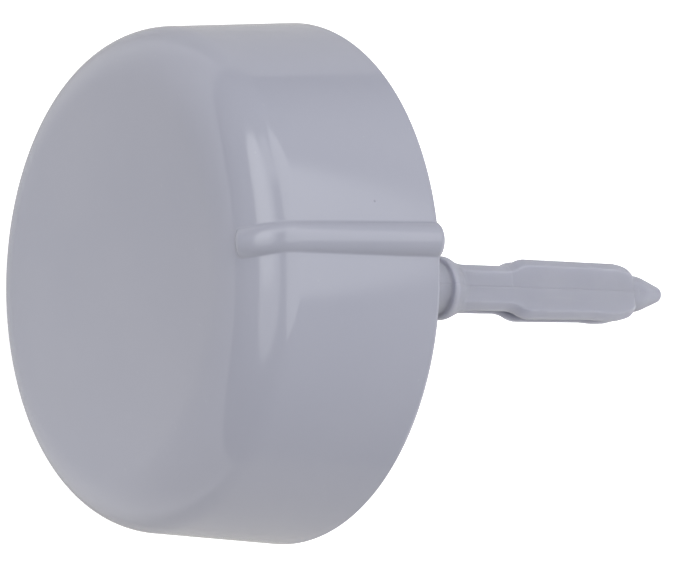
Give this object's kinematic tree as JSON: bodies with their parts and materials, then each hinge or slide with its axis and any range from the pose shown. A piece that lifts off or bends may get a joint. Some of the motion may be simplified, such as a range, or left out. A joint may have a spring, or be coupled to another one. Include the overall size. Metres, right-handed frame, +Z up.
{
  "type": "appliance control knob",
  "caption": "Round tapered control knob with a raised pointer ridge and a long snap-in spindle that ends in a two-leaf drive paddle and a cone nose.",
  "frame": {"origin": "on the spindle axis, in the plane of the cap's rear edge, where the knob meets the appliance's panel", "axes": "+Y along the spindle towards its nose, so the round face looks along -Y; +Z up through the pointer ridge (twelve o'clock); +X is the right side seen from the front"},
  "size_m": [0.0598, 0.0843, 0.061],
  "materials": {
    "cap_gloss": "gloss moulded, cool grey-white",
    "spindle_satin": "satin moulded, cool grey-white"
  },
  "bodies": {
    "root": {"knob_cap": "cap_gloss", "spindle": "spindle_satin"}
  },
  "joints": []
}
